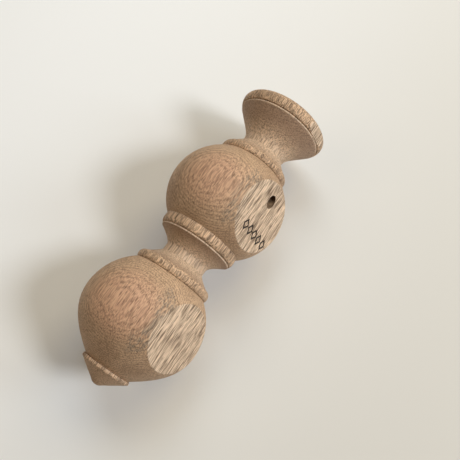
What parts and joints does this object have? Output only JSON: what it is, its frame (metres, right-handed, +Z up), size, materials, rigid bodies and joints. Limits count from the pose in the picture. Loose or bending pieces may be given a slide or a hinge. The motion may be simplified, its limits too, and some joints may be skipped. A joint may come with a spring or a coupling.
{
  "type": "kokeshi doll",
  "caption": "Turned hardwood kokeshi-style wall figure with a disc head, ball body sections, collars, a pointed foot, flats for the wall and a slanted nail hole.",
  "frame": {"origin": "middle of the bottom of the whole figure's box, where the figure lies on its two balls", "axes": "+X along the turning axis from the foot's tip to the head disc, +Z up from the surface it lies on; the flats face -Y and up"},
  "size_m": [0.1802, 0.067, 0.0673],
  "materials": {
    "turned_wood": "raw turned and sanded hardwood, matt with a faint sheen",
    "dowel_wood": "plain glued dowel pin"
  },
  "bodies": {
    "root": {"foot_cone": "turned_wood", "lower_ball": "turned_wood", "waist_spool": "turned_wood", "upper_ball": "turned_wood", "head_disc": "turned_wood", "foot_dowel": "dowel_wood", "lower_waist_dowel": "dowel_wood", "upper_waist_dowel": "dowel_wood", "neck_dowel": "dowel_wood"}
  },
  "joints": []
}
